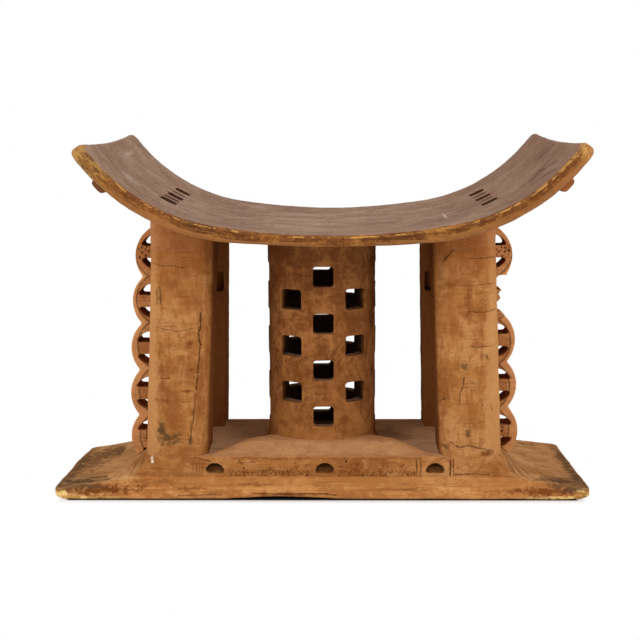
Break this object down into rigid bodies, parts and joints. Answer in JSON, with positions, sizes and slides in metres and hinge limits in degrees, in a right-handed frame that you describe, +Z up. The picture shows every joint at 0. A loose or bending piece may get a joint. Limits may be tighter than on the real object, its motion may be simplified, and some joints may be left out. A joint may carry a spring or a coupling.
{
  "type": "carved stool",
  "caption": "Carved wooden stool: a seat bent up at both ends on corner columns and a hollow pierced centre column, with scalloped openwork end screens and a broad base board.",
  "frame": {"origin": "centre of the bounding box's underside, on the floor", "axes": "+X along the stool's length to the sitter's left when the front faces -Y, +Y from front to back, +Z up"},
  "size_m": [0.5596, 0.29, 0.3769],
  "materials": {
    "base_wood": "worn, waxed by handling, pale at the edges",
    "column_wood": "adzed and smoothed, satin",
    "screen_wood": "knife-cut, dull",
    "seat_wood": "polished by sitting, pale worn rim"
  },
  "bodies": {
    "root": {"base_board": "base_wood", "central_column": "column_wood", "front_left_column": "column_wood", "front_right_column": "column_wood", "left_end_screen": "screen_wood", "left_lug": "seat_wood", "plinth": "base_wood", "rear_left_column": "column_wood", "rear_right_column": "column_wood", "right_end_screen": "screen_wood", "right_lug": "seat_wood", "seat": "seat_wood"}
  },
  "joints": []
}
